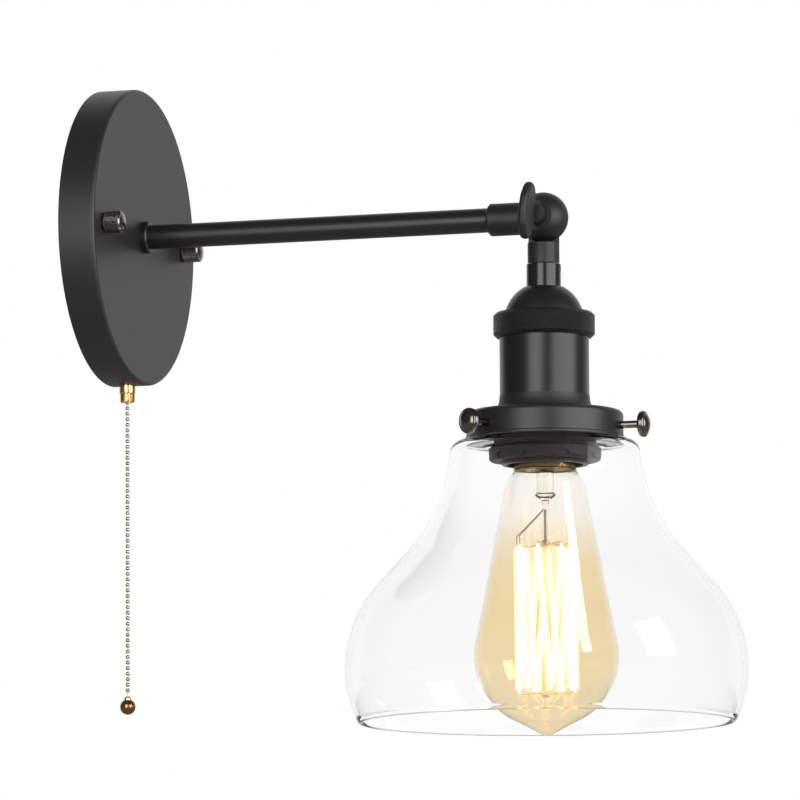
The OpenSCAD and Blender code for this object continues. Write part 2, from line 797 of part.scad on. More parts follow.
module friction_washer() {
    t = half_gap - face_gap;
    color([0.35, 0.22, 0.15]) translate([-half_gap / 2, -arm_reach, 0]) rotate([0, 90, 0])
        ring(ball_r - 2.6, pivot_d / 2 + run_gap, t);
}

module wing_washer() {
    color(steel) translate([-wing_flat_x - wing_washer_t, -arm_reach, 0]) rotate([0, 90, 0])
        ring(wing_washer_d / 2, pivot_d / 2 + run_gap, wing_washer_t);
}

// The pivot screw carries an oval paddle that stands along the pivot. The oval is the hull of
// discs that touch it from inside.
module wing_screw() {
    steps = 4;
    color(satin_black) translate([0, -arm_reach, 0]) {
        translate([-wing_x - wing_hub_l, 0, 0]) rotate([0, 90, 0])
            cylinder(d = wing_hub_d, h = wing_hub_l);
        translate([-wing_x - eps, 0, 0]) rotate([0, 90, 0])
            cylinder(d = pivot_d, h = wing_x + pivot_end_x);
        translate([-wing_x - wing_hub_l - paddle_r + 0.8, 0, 0]) rotate([paddle_turn, 0, 0]) hull()
            for (k = [-2:2], i = [0:steps])
                let (a = 90 * i / steps, z = paddle_reach * k / 2,
                    r = paddle_r * sqrt(1 - z * z / (paddle_h * paddle_h / 4 - paddle_r * paddle_r)))
                    translate([0, 0, z]) rotate([90, 0, 0])
                        cylinder(r = r - paddle_edge * (1 - sin(a)),
                            h = paddle_t - 2 * paddle_edge * (1 - cos(a)), center = true, $fn = 32);
    }
}

module stem_coupling() {
    c = 0.5;
    r = coupling_d / 2;
    color(satin_black) translate([0, -arm_reach, cap_z]) difference() {
        rotate_extrude()
            polygon([[nipple_r + seat_gap, 0], [r, 0], [r, coupling_h - c], [r - c, coupling_h],
                [nipple_r + seat_gap, coupling_h]]);
        translate([0, 0, coupling_h - grub_drop]) rotate([90, 0, 0])
            cylinder(r = grub_r + seat_gap, h = coupling_d);
    }
}

module coupling_screw() {
    r = coupling_d / 2;
    color(satin_black) translate([0, -arm_reach, coupling_z - grub_drop]) rotate([90, 0, 0])
        translate([0, 0, nipple_r + seat_gap])
            cylinder(r = grub_r, h = r - nipple_r - loose_gap - seat_gap, $fn = 32);
}

module threaded_nipple() {
    color(steel) translate([0, -arm_reach, nipple_low_z])
        ring(nipple_r, nipple_bore_r, nipple_top_z - nipple_low_z);
}

module nipple_nut() {
    color(steel) translate([0, -arm_reach, cap_z - cap_wall - face_gap - nipple_nut_t])
        difference() {
            hex(nipple_nut_af, nipple_nut_t);
            translate([0, 0, -1]) cylinder(r = nipple_r + seat_gap, h = nipple_nut_t + 2);
        }
}

// A domed cap with a flange that the knurled ring clamps
module socket_cap() {
    a_top = 90 - asin(dome_cut_r / dome_r);
    rise = cap_flange_z - dome_centre_z;
    a_low = asin(rise / dome_r);
    in_r = dome_r - cap_wall;
    in_cut = (cap_z - cap_wall) - dome_centre_z;
    a_in_top = asin(in_cut / in_r);
    a_in_low = asin((rise - cap_flange_t) / in_r);
    color(satin_black) translate([0, -arm_reach, 0]) difference() {
        rotate_extrude()
            polygon(concat([[0, cap_z]],
                arc([0, dome_centre_z], dome_r, a_top, a_low),
                [[cap_flange_r, cap_flange_z], [cap_flange_r, cap_flange_z - cap_flange_t]],
                arc([0, dome_centre_z], in_r, a_in_low, a_in_top),
                [[0, cap_z - cap_wall]]));
        translate([0, 0, cap_z - cap_wall - 1]) cylinder(r = nipple_r + seat_gap, h = cap_wall + 2);
    }
}

module knurled_ring() {
    lip_in_r = sqrt(dome_r * dome_r - pow(ring_z - dome_centre_z, 2)) + 0.3;
    c = ring_chamfer;
    color(satin_black) translate([0, -arm_reach, 0]) rotate_extrude()
        polygon([[lip_in_r, ring_z], [ring_r - c, ring_z], [ring_r, ring_z - c],
            [ring_r, shell_z + c], [ring_r - c, shell_z], [shell_r + seat_gap, shell_z],
            [shell_r + seat_gap, cap_flange_z + face_gap], [lip_in_r + 0.6, cap_flange_z + face_gap]]);
}

module socket_shell() {
    color(satin_black) translate([0, -arm_reach, flare_z])
        ring(shell_r, shell_r - shell_wall, shell_top_z - flare_z);
}

// Insulating base inside the socket, with its two terminals
module lampholder_base() {
    color(porcelain) translate([0, -arm_reach, skirt_top_z]) difference() {
        union() {
            translate([0, 0, -base_t]) cylinder(r = base_r, h = base_t + base_ledge_t);
            cylinder(r = skirt_r, h = base_ledge_t);
        }
        for (s = [-1, 1])
            translate([s * terminal_x, 0, -base_t - 1])
                cylinder(d = terminal_d + 2 * seat_gap, h = base_t + base_ledge_t + 2);
    }
}

module lampholder_skirt() {
    color(phenolic) translate([0, -arm_reach, skirt_z])
        ring(skirt_r, skirt_r - skirt_wall, skirt_top_z - skirt_z - face_gap);
}

module terminal_screws() {
    color(brass) for (s = [-1, 1])
        translate([s * terminal_x, -arm_reach, skirt_top_z + base_ledge_t]) difference() {
            union() {
                translate([0, 0, -terminal_l]) cylinder(d = terminal_d, h = terminal_l);
                cylinder(d = terminal_head_d, h = terminal_head_t);
            }
            translate([-terminal_head_d, -terminal_slot / 2, terminal_head_t - terminal_slot])
                cube([2 * terminal_head_d, terminal_slot, 1]);
        }
}

// Profile of a rolled thread, from a height up through a number of turns
function thread_wave(r, from_z, turns, depth) =
    [for (i = [0:turns * arc_steps])
        [r - depth * (0.5 + 0.5 * cos(360 * i / arc_steps)), from_z + thread_pitch * i / arc_steps]];
// The lampholder's threaded shell
module screw_shell() {
    top_z = skirt_top_z - base_t - face_gap;
    wave_in = thread_wave(screw_shell_in_r, thread_low_z, thread_turns, thread_depth - 0.2);
    wave_out = [for (p = reversed(wave_in)) [p[0] + screw_shell_wall, p[1]]];
    r_in = screw_shell_in_r - (thread_depth - 0.2);
    color(brass) translate([0, -arm_reach, 0]) rotate_extrude()
        polygon(concat([[r_in, thread_low_z - 1]], wave_in,
            [[r_in, top_z - screw_shell_wall], [8, top_z - screw_shell_wall], [8, top_z],
                [r_in + screw_shell_wall, top_z]],
            wave_out, [[r_in + screw_shell_wall, thread_low_z - 1]]));
}

// A bent spring tongue that presses on the bulb's contact
module centre_contact() {
    top_z = skirt_top_z - base_t;
    tip_z = bulb_z + bulb_cap_h + 1.4;
    w = 4;
    t = 0.5;
    bend_x = -6;
    foot_l = 8;
    color(copper) translate([bend_x, -arm_reach - w / 2, 0]) {
        translate([0, 0, top_z - t]) cube([foot_l, w, t]);
        translate([0, 0, tip_z]) cube([t, w, top_z - tip_z]);
        translate([0, 0, tip_z]) cube([foot_l + t, w, t]);
    }
}

module lamp_leads() {
    color([0.08, 0.08, 0.08]) translate([0, -arm_reach, 0]) for (s = [-1, 1])
        lead([[s * lead_side, 0, -sweep_r - 0.5], [s * lead_side, 0, nipple_low_z - 2],
            [s * (terminal_x - 2), 0, skirt_top_z + 10],
            [s * terminal_x, 0, skirt_top_z + base_ledge_t + 2 + lead_r]]);
}

// A hollow-curved collar that carries the socket shell on the shade holder
module flared_collar() {
    in_r = skirt_r + 0.2;
    color(satin_black) translate([0, -arm_reach, 0]) rotate_extrude()
        polygon(concat([[in_r, flare_z - face_gap]],
            arc([shell_r + flare_step + flare_curve_r, flare_z - face_gap], flare_curve_r, 180,
                180 + asin((flare_h - 2 * face_gap) / flare_curve_r)),
            [[in_r, holder_z + face_gap]]));
}

// The shade holder is a shallow cup with a rounded edge and three tapped holes
module shade_holder() {
    e = holder_edge_r;
    in_r = holder_r - holder_wall;
    hole_r = skirt_r + 0.3;
    color(satin_black) translate([0, -arm_reach, 0]) difference() {
        rotate_extrude($fn = 180)
            polygon(concat([[hole_r, holder_z]], arc([holder_r - e, holder_z - e], e, 90, 0),
                [[holder_r, holder_low_z + 1.4], [holder_r + holder_bead, holder_low_z + 1],
                    [holder_r + holder_bead, holder_low_z + 0.3], [holder_r, holder_low_z],
                    [in_r, holder_low_z]],
                arc([holder_r - e, holder_z - e], e - holder_wall, 0, 90),
                [[hole_r, holder_z - holder_wall]]));
        for (i = [0:thumb_n - 1])
            translate([0, 0, thumb_z]) rotate(holder_turn + 360 / thumb_n * i) rotate([90, 0, 0])
                cylinder(r = thumb_d / 2 + seat_gap, h = holder_d);
    }
}

// Thumbscrew i of three, counted anticlockwise from the one at the front
module thumbscrew(i) {
    r = thumb_head_d / 2;
    head = thumb_reach - thumb_head_t;
    rim = 1.2;
    dome = 1.3;
    span = r - rim;
    ball = (span * span + dome * dome) / (2 * dome);
    top = thumb_reach - dome;
    color(black_nickel) translate([0, -arm_reach, thumb_z])
        rotate(holder_turn + 360 / thumb_n * i) rotate([90, 0, 0]) rotate_extrude($fn = 64)
            polygon(concat([[0, thumb_tip], [thumb_d / 2 - 0.4, thumb_tip],
                [thumb_d / 2, thumb_tip + 0.4], [thumb_d / 2, head - 0.8],
                [thumb_neck_r, head]],
                arc([r - rim, head + rim], rim, -90, 0),
                arc([r - rim, top - rim], rim, 0, 90),
                arc([0, thumb_reach - ball], ball, 90 - asin(span / ball), 90)));
}
module thumbscrew_1() {
    thumbscrew(0);
}
module thumbscrew_2() {
    thumbscrew(2);
}
module thumbscrew_3() {
    thumbscrew(1);
}

// The ring nut clamps the shade holder against the flared collar
module ring_nut() {
    in_r = skirt_r + seat_gap;
    r = nut_ring_d / 2;
    low_z = nut_flange_z - nut_ring_h;
    c = nut_chamfer;
    color(phenolic) translate([0, -arm_reach, 0]) difference() {
        rotate_extrude()
            polygon([[in_r, holder_z - holder_wall - face_gap],
                [nut_sleeve_r, holder_z - holder_wall - face_gap], [nut_sleeve_r, nut_flange_z],
                [r - c, nut_flange_z], [r, nut_flange_z - c], [r, low_z + c], [r - c, low_z],
                [in_r, low_z]]);
        for (i = [0:nut_notch_n - 1])
            rotate(360 / nut_notch_n * i)
                translate([r - nut_notch_d, -nut_notch_w / 2, low_z - 1])
                    cube([4, nut_notch_w, nut_ring_h * 0.45 + 1]);
    }
}

// One side of the shade's wall, from the rim up to the shoulder, inset by o
function shade_side(o) =
    let (low = arc([belly_x - rim_r, belly_z], rim_r - o, -rim_a, 0),
        high = arc([belly_x - belly_r, belly_z], belly_r - o, 0, flank_a),
        top = high[len(high) - 1],
        flank_end = top + flank_l * [-sin(flank_a), cos(flank_a)],
        waist_c = flank_end + (waist_r + o) * [cos(flank_a), sin(flank_a)],
        shoulder_z = shade_top_z - shoulder_r,
        waist_a = asin((waist_c[1] - shoulder_z) / (waist_r + o)),
        waist = arc(waist_c, waist_r + o, 180 + flank_a, 180 + waist_a, 2 * arc_steps),
        wall_x = waist[len(waist) - 1][0],
        shoulder = arc([wall_x - shoulder_r + o, shoulder_z], shoulder_r - o, 0, 90))
        concat(low, high, waist, shoulder);

// A blown bell with a fire-polished rim and a beaded lip inside the holder
module glass_shade() {
    outer = shade_side(0);
    inner = shade_side(glass_t);
    rim = arc([belly_x - rim_r + (rim_r - glass_t / 2) * cos(rim_a),
        belly_z - (rim_r - glass_t / 2) * sin(rim_a)], glass_t / 2, 180 - rim_a, 360 - rim_a);
    neck_in_r = groove_r - glass_t;
    color(clear_glass) translate([0, -arm_reach, 0]) rotate_extrude($fn = 180)
        polygon(concat(outer,
            [[groove_r, shade_top_z], [groove_r, lip_top_z - lip_h]],
            arc([lip_r - lip_h / 2, lip_top_z - lip_h / 2], lip_h / 2, -90, 90),
            [[neck_in_r, lip_top_z], [neck_in_r, shade_top_z - glass_t]],
            reversed(inner), rim));
}

// The bulb's brass cap with its rolled thread
module bulb_cap() {
    wave = thread_wave(thread_d / 2, thread_low_z, thread_turns, thread_depth);
    r = thread_d / 2 - thread_depth;
    top_z = bulb_cap_top_z;
    inner = [for (p = reversed(wave)) [p[0] - bulb_cap_wall, p[1]]];
    color(brass) translate([0, -arm_reach, 0]) rotate_extrude()
        polygon(concat([[bulb_cap_r + 0.3, bulb_z], [bulb_cap_r, bulb_z + 0.6]], wave,
            [[r, top_z - 1.5], [r - 1.5, top_z], [r - 2.2, top_z], [r - bulb_cap_wall, top_z - 1.8]],
            inner, [[bulb_cap_r - bulb_cap_wall, bulb_z + 0.6],
                [bulb_cap_r - bulb_cap_wall, bulb_z]]));
}

module bulb_insulator() {
    r = thread_d / 2 - thread_depth - 2.25;
    top_r = 4.6;
    skirt_h = 1.6;
    color(phenolic) translate([0, -arm_reach, bulb_cap_top_z - skirt_h])
        difference() {
            union() {
                cylinder(r = r, h = skirt_h);
                translate([0, 0, skirt_h]) cylinder(r1 = r, r2 = top_r, h = insulator_h);
            }
            translate([0, 0, -1]) cylinder(r = contact_r + 0.1, h = skirt_h + insulator_h + 2);
        }
}

module bulb_contact() {
    plug_h = 4.2;
    head_r = 3.9;
    color(steel) translate([0, -arm_reach, bulb_z + bulb_cap_h + 0.2 - plug_h]) {
        cylinder(r = contact_r, h = plug_h);
        translate([0, 0, plug_h]) cylinder(r1 = head_r, r2 = head_r - 1.5, h = 0.9);
    }
}

// One side of the bulb's glass, from the tip up to the neck, inset by o
function bulb_side(o) =
    let (r = bulb_r - o,
        tip_r = 3.4,
        tip_z = bulb_low_z - bulb_tip + o,
        join_a = -62,
        neck_z = bulb_z - 4.2,
        ball = arc([0, bulb_centre_z], r, join_a, bulb_a, 2 * arc_steps),
        join = ball[0],
        side_top = [bulb_r * cos(bulb_a) - o
            - (neck_z - bulb_centre_z - bulb_r * sin(bulb_a)) * tan(bulb_a), neck_z])
        concat([[0, tip_z], [tip_r * 0.55, tip_z + 0.4], [tip_r, tip_z + 1.3],
            (join + [tip_r, tip_z + 1.3]) / 2 + [-0.5, -0.5]], ball, [side_top],
            [[bulb_neck_r - o + 0.9, bulb_z - 1.6], [bulb_neck_r - o, bulb_z - 0.4]]);

module bulb_glass() {
    in_r = bulb_cap_r - bulb_cap_wall - 0.1;
    top_z = bulb_z + 4;
    color(amber_glass) translate([0, -arm_reach, 0]) rotate_extrude($fn = 120)
        polygon(concat(bulb_side(0), [[in_r, bulb_z - face_gap], [in_r, top_z],
            [in_r - bulb_t, top_z], [in_r - bulb_t, bulb_z - 0.4]], reversed(bulb_side(bulb_t))));
}

// The bulb's glass foot: a tube, a small dish and a pinch that holds the wires
module bulb_stem() {
    base_z = bulb_z + 3;
    in_r = bulb_cap_r - bulb_cap_wall - 0.1 - bulb_t;
    color(clear_glass) translate([0, -arm_reach, 0]) rotate_extrude($fn = 48)
        polygon([[0, base_z], [in_r - 0.1, base_z], [in_r - 0.1, base_z - 0.8],
            [stem_tube_r + 0.8, base_z - 1.6], [stem_tube_r, base_z - 3], [stem_tube_r, dish_z + 1],
            [stem_tube_r + 0.9, dish_z], [stem_tube_r + 0.4, dish_z - 0.7], [1.6, dish_z - 2.2],
            [1.2, dish_z - 4], [1.5, pinch_z], [0, pinch_z]]);
}

// Point k round the cage: even points are at the top, odd ones at the bottom
function cage_point(k) =
    let (a = cage_turn + 360 * k / cage_n, top = k % 2 == 0, r = top ? cage_top_r : cage_low_r)
        [r * cos(a), r * sin(a), top ? cage_top_z : cage_low_z];

// Two lead-in wires carry the ends of the filament, and hooks on two hubs carry the rest
module filament_support() {
    color(steel) translate([0, -arm_reach, 0]) {
        translate([0, 0, cage_low_z - hub_h]) cylinder(r = rod_r, h = pinch_z - cage_low_z + hub_h);
        for (z = [cage_top_z, cage_low_z - hub_h]) translate([0, 0, z]) cylinder(r = hub_r, h = hub_h);
        for (k = [1:cage_n - 2])
            let (p = cage_point(k), z = k % 2 == 0 ? cage_top_z + hook_rise : cage_low_z - hook_rise)
                rod([0, 0, z], [p[0], p[1], z], wire_r);
    }
    color(copper) translate([0, -arm_reach, 0]) for (k = [0, cage_n - 1])
        let (p = cage_point(k), bend = p + [0, 0, lead_in_rise],
            a = cage_turn + 360 * k / cage_n + (k == 0 ? lead_in_turn : -lead_in_turn),
            start = [lead_in_r * cos(a), lead_in_r * sin(a), pinch_z]) {
            rod(start, bend, wire_r);
            translate(bend) sphere(r = wire_r + elbow, $fn = 24);
            rod(bend, p + [0, 0, filament_r + elbow], wire_r);
        }
}

// A squirrel-cage filament that zigzags between the hooks
module filament() {
    color([1, 0.8, 0.35]) translate([0, -arm_reach, 0]) {
        for (k = [0:cage_n - 2]) rod(cage_point(k), cage_point(k + 1), filament_r);
        for (k = [0:cage_n - 1]) translate(cage_point(k)) sphere(r = filament_r + elbow, $fn = 24);
    }
}

canopy();
mounting_bracket();
mounting_studs();
stud_nuts();
cap_nuts();
ground_screw();
arm_lock_washer();
arm_lock_nut();
arm_collar();
arm_tube();
switch_case();
switch_cover();
switch_terminals();
switch_ratchet();
switch_plunger();
switch_spring();
switch_nozzle();
nozzle_nut();
chain_tail();
pull_chain();
chain_connector();
chain_ball();
live_lead();
switched_lead();
neutral_lead();
ground_lead();
wire_connectors();
knuckle_arm_half();
knuckle_lamp_half();
friction_washer();
wing_washer();
wing_screw();
stem_coupling();
coupling_screw();
threaded_nipple();
nipple_nut();
socket_cap();
knurled_ring();
socket_shell();
lampholder_base();
lampholder_skirt();
terminal_screws();
screw_shell();
centre_contact();
lamp_leads();
flared_collar();
shade_holder();
thumbscrew_1();
thumbscrew_2();
thumbscrew_3();
ring_nut();
glass_shade();
bulb_cap();
bulb_insulator();
bulb_contact();
bulb_glass();
bulb_stem();
filament_support();
filament();
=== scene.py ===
import bpy, math
from mathutils import Matrix, Vector


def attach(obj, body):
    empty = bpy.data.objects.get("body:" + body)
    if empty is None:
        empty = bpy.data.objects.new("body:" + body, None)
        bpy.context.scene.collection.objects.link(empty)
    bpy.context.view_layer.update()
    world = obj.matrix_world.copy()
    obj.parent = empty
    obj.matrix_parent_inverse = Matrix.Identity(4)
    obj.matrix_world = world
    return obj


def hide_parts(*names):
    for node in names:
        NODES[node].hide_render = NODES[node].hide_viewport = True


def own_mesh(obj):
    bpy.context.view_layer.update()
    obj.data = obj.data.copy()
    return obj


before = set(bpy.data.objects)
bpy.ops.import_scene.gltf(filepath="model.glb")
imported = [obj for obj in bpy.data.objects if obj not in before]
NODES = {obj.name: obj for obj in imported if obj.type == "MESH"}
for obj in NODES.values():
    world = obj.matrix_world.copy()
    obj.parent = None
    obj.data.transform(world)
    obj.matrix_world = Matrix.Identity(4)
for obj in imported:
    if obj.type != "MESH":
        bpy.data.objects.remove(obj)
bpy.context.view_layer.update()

PIVOT_Y = -0.1835
mm = 0.001
ROOM = 0.12  # how bright the room behind the camera looks in metal
PANE = 0.72  # and through the curved edges of glass
SOFT = 0.35  # even light from all round


# Camera, worked out from the photograph
AZ, EL, ROLL = math.radians(-72.07), math.radians(-6.65), math.radians(-0.31)
BACK = Vector((math.sin(AZ) * math.cos(EL), -math.cos(AZ) * math.cos(EL), math.sin(EL)))
LEVEL = Vector((math.cos(AZ), math.sin(AZ), 0))
UPRIGHT = BACK.cross(LEVEL)
RIGHT = LEVEL * math.cos(ROLL) + UPRIGHT * math.sin(ROLL)
UP = -LEVEL * math.sin(ROLL) + UPRIGHT * math.cos(ROLL)
AIM = Vector((0, -0.11, -0.07)) + RIGHT * 0.01253 - UP * 0.00007


def turned(x, y, z, place):
    m = Matrix((x, y, z)).transposed().to_4x4()
    m.translation = place
    return m


camera = bpy.data.objects.new("camera", bpy.data.cameras.new("camera"))
bpy.context.collection.objects.link(camera)
camera.matrix_world = turned(RIGHT, UP, BACK, AIM + BACK * 3.0)
camera.data.sensor_width = 36
camera.data.lens = 7502 * 36 / 800
camera.data.clip_end = 100
bpy.context.scene.camera = camera
bpy.context.scene.view_settings.view_transform = "Standard"


# Light: two soft boxes at either side of the camera for the metal, a smaller one for the glass,
# and a pale surround behind the object
def area(name, side, rise, size_x, size_y, radiance, reach=1.6):
    a, e = math.radians(side), math.radians(rise)
    z = (RIGHT * math.sin(a) + BACK * math.cos(a)) * math.cos(e) + UP * math.sin(e)
    light = bpy.data.lights.new(name, "AREA")
    light.shape = "RECTANGLE"
    light.size, light.size_y = size_x, size_y
    light.energy = radiance * math.pi * size_x * size_y
    o = bpy.data.objects.new(name, light)
    bpy.context.collection.objects.link(o)
    x = UP.cross(z).normalized()
    o.matrix_world = turned(x, z.cross(x), z, AIM + z * reach)
    return o


BOXES = [area("key", 53, 12, 1.95, 1.1, 3.8), area("fill", -22, 12, 1.0, 1.1, 4.0)]
GLASS_BOX = area("glass_box", 67, 16, 0.5, 0.75, 10.0)

world = bpy.data.worlds.new("world")
bpy.context.scene.world = world
world.use_nodes = True
nt = world.node_tree
nt.nodes.clear()


def wnode(kind, **values):
    n = nt.nodes.new(kind)
    for k, v in values.items():
        setattr(n, k, v)
    return n


def wmath(op, a, b, clamp=False):
    n = wnode("ShaderNodeMath", operation=op, use_clamp=clamp)
    for i, v in enumerate((a, b)):
        if isinstance(v, (int, float)):
            n.inputs[i].default_value = v
        else:
            nt.links.new(v, n.inputs[i])
    return n.outputs[0]


path = wnode("ShaderNodeLightPath")
toward = wnode("ShaderNodeVectorMath", operation="DOT_PRODUCT")
nt.links.new(wnode("ShaderNodeTexCoord").outputs["Generated"], toward.inputs[0])
toward.inputs[1].default_value = -BACK


def surround(dark):
    ramp = wnode("ShaderNodeMapRange", interpolation_type="SMOOTHSTEP")
    nt.links.new(toward.outputs["Value"], ramp.inputs["Value"])
    for k, v in (("From Min", 0.3), ("From Max", 1.0), ("To Min", dark), ("To Max", 1.0)):
        ramp.inputs[k].default_value = v
    return ramp.outputs["Result"]


def wmix(factor, a, b):
    return wmath("ADD", wmath("MULTIPLY", wmath("SUBTRACT", 1.0, factor), a),
                 wmath("MULTIPLY", factor, b))


camera_ray, glossy_ray, through = (path.outputs[k] for k in
                                   ("Is Camera Ray", "Is Glossy Ray", "Is Transmission Ray"))
mirror = wmath("ADD", glossy_ray, through, True)
seen = wmix(through, surround(ROOM), surround(PANE))
strength = wmix(camera_ray, wmix(mirror, SOFT, seen), 1.0)
sky = wnode("ShaderNodeBackground")
nt.links.new(strength, sky.inputs["Strength"])
sky.inputs["Color"].default_value = (1, 1, 1, 1)
nt.links.new(sky.outputs[0], wnode("ShaderNodeOutputWorld").inputs["Surface"])


# Materials
def material(name, color, metallic=0.0, rough=0.5, **more):
    m = bpy.data.materials.new(name)
    m.use_nodes = True
    values = {"Base_Color": (*color, 1), "Metallic": metallic, "Roughness": rough, **more}
    for k, v in values.items():
        surface(m)[k.replace("_", " ")].default_value = v
    return m


def surface(m):
    return m.node_tree.nodes["Principled BSDF"].inputs


def drive(m, socket, value):
    m.node_tree.links.new(value, surface(m)[socket])


def add(m, kind, **values):
    n = m.node_tree.nodes.new(kind)
    for k, v in values.items():
        setattr(n, k, v)
    return n


def calc(m, op, a, b=None, c=None):
    n = add(m, "ShaderNodeMath", operation=op)
    for i, v in enumerate((a, b, c)):
        if v is None:
            continue
        if isinstance(v, (int, float)):
            n.inputs[i].default_value = v
        else:
            m.node_tree.links.new(v, n.inputs[i])
    return n.outputs[0]


def place(m):
    t = add(m, "ShaderNodeTexCoord")
    s = add(m, "ShaderNodeSeparateXYZ")
    m.node_tree.links.new(t.outputs["Object"], s.inputs[0])
    return t.outputs["Object"], s.outputs


def bump(m, height, distance, strength=1.0):
    b = add(m, "ShaderNodeBump")
    b.inputs["Strength"].default_value = strength
    b.inputs["Distance"].default_value = distance
    m.node_tree.links.new(height, b.inputs["Height"])
    drive(m, "Normal", b.outputs["Normal"])


def grain(m, scale, distance, spread=0.0):
    at, _ = place(m)
    n = add(m, "ShaderNodeTexNoise")
    n.inputs["Scale"].default_value = scale
    n.inputs["Detail"].default_value = 2.0
    m.node_tree.links.new(at, n.inputs["Vector"])
    bump(m, n.outputs[0], distance)
    if spread:
        base = surface(m)["Roughness"].default_value
        drive(m, "Roughness", calc(m, "MULTIPLY_ADD", n.outputs[0], spread, base - spread / 2))


def between(m, value, low, high, soft_edge):
    rise = calc(m, "DIVIDE", calc(m, "SUBTRACT", value, low), soft_edge)
    fall = calc(m, "DIVIDE", calc(m, "SUBTRACT", high, value), soft_edge)
    both = calc(m, "MINIMUM", calc(m, "SMOOTH_MIN", rise, 1.0, 0.1),
                calc(m, "SMOOTH_MIN", fall, 1.0, 0.1))
    return calc(m, "MAXIMUM", both, 0.0)


BLACK = (0.010, 0.010, 0.0098)
satin = material("satin_black", BLACK, 0, 0.34)
grain(satin, 1500, 0.00001, 0.04)
# The canopy's copy of the satin black is rougher, and its slightly lighter base colour is painted
# light for the brighter tone its face takes
satin_pan = material("satin_black_pan", (0.014, 0.014, 0.014), 0, 0.42)
grain(satin_pan, 1500, 0.00001, 0.04)
satin_low = material("satin_black_holder", (0.014, 0.0135, 0.0125), 0, 0.4)
grain(satin_low, 1500, 0.00001, 0.04)
shell_black = material("satin_black_shell", BLACK, 0, 0.31, Specular_IOR_Level=0.45)
grain(shell_black, 1500, 0.00001, 0.03)
cast = material("cast_black", BLACK, 0, 0.48)
grain(cast, 1200, 0.00001, 0.04)
polished = material("polished_black", BLACK, 0, 0.2)

# Crossed knurl round the ring, from its lower to its upper edge
knurled = material("knurled_black", BLACK, 0, 0.42)
at, xyz = place(knurled)
turn = calc(knurled, "ARCTAN2", calc(knurled, "SUBTRACT", xyz[1], PIVOT_Y), xyz[0])
lean = calc(knurled, "MULTIPLY", xyz[2], 2 * math.pi / (0.9 * mm))
teeth = calc(knurled, "MULTIPLY", turn, 140)
ha = calc(knurled, "SINE", calc(knurled, "ADD", teeth, lean))
hb = calc(knurled, "SINE", calc(knurled, "SUBTRACT", teeth, lean))
diamond = calc(knurled, "MULTIPLY_ADD", calc(knurled, "MAXIMUM", ha, hb), -0.5, 0.5)
knurl_mask = between(knurled, xyz[2], -0.04705, -0.0395, 0.0002)
cut = calc(knurled, "MULTIPLY", diamond, knurl_mask)
bump(knurled, cut, 0.0006)
drive(knurled, "Specular IOR Level", calc(knurled, "MULTIPLY_ADD", cut, 1.3, 0.3))

nickel = material("black_nickel", (0.16, 0.145, 0.13), 1, 0.16)
# Slanted knurl round the two barrel nuts
nickel_knurl = material("black_nickel_knurled", (0.20, 0.185, 0.17), 1, 0.15)
at, xyz = place(nickel_knurl)
side = calc(nickel_knurl, "SUBTRACT", calc(nickel_knurl, "ABSOLUTE", xyz[0]), 0.0465)
turn = calc(nickel_knurl, "MULTIPLY", calc(nickel_knurl, "ARCTAN2", xyz[2], side), 30)
lean = calc(nickel_knurl, "MULTIPLY", xyz[1], 2 * math.pi / (1.0 * mm))
wave = calc(nickel_knurl, "SINE", calc(nickel_knurl, "ADD", turn, lean))
nut_mask = between(nickel_knurl, xyz[1], -0.0218, -0.0157, 0.0002)
bump(nickel_knurl, calc(nickel_knurl, "MULTIPLY", wave, nut_mask), 0.00012)

steel = material("zinc_steel", (0.62, 0.62, 0.62), 1, 0.28)
grain(steel, 900, 0.00002, 0.1)
bead = material("bead_metal", (0.55, 0.5, 0.42), 1, 0.22)
grain(bead, 2500, 0.00001, 0.08)
brass = material("brass", (0.75, 0.5, 0.2), 1, 0.2)
grain(brass, 900, 0.00001, 0.08)
bronze = material("bronze", (0.3, 0.16, 0.08), 1, 0.25)
grain(bronze, 900, 0.00001, 0.08)
copper = material("copper", (0.75, 0.45, 0.3), 1, 0.3)
grain(copper, 900, 0.00001, 0.08)
green_metal = material("green_steel", (0.03, 0.2, 0.06), 0.6, 0.35)
phenolic = material("phenolic", (0.015, 0.014, 0.014), 0, 0.38)
grain(phenolic, 1100, 0.00002, 0.05)
nut_black = material("ring_nut_black", (0.04, 0.034, 0.028), 0, 0.55, Specular_IOR_Level=0.3)
grain(nut_black, 1100, 0.00002, 0.05)
fibre = material("fibre", (0.2, 0.08, 0.04), 0, 0.8)
grain(fibre, 2200, 0.00005)
porcelain = material("porcelain", (0.8, 0.79, 0.75), 0, 0.15, Coat_Weight=0.5)
black_skin = material("black_insulation", (0.02, 0.02, 0.02), 0, 0.45)
white_skin = material("white_insulation", (0.75, 0.75, 0.73), 0, 0.45)
green_skin = material("green_insulation", (0.02, 0.25, 0.05), 0, 0.45)
orange = material("orange_plastic", (0.75, 0.2, 0.02), 0, 0.35)

clear = material("clear_glass", (0.99, 0.99, 0.99), 0, 0.0, Transmission_Weight=1.0, IOR=1.33)
# The shade's rounded rim hardly bends what is behind it, and its lowest edge scatters light;
# its neck mirrors little
at, xyz = place(clear)
rounded = between(clear, xyz[2], -0.2030, -0.1990, 0.0008)
neck = between(clear, xyz[2], -0.1300, -0.0600, 0.0200)
edge = between(clear, xyz[2], -0.2030, -0.2009, 0.0002)
ior = calc(clear, "MULTIPLY_ADD", rounded, -0.28, 1.33)
drive(clear, "IOR", calc(clear, "MULTIPLY_ADD", neck, -0.18, ior))
drive(clear, "Transmission Weight", calc(clear, "MULTIPLY_ADD", edge, -0.6, 1.0))

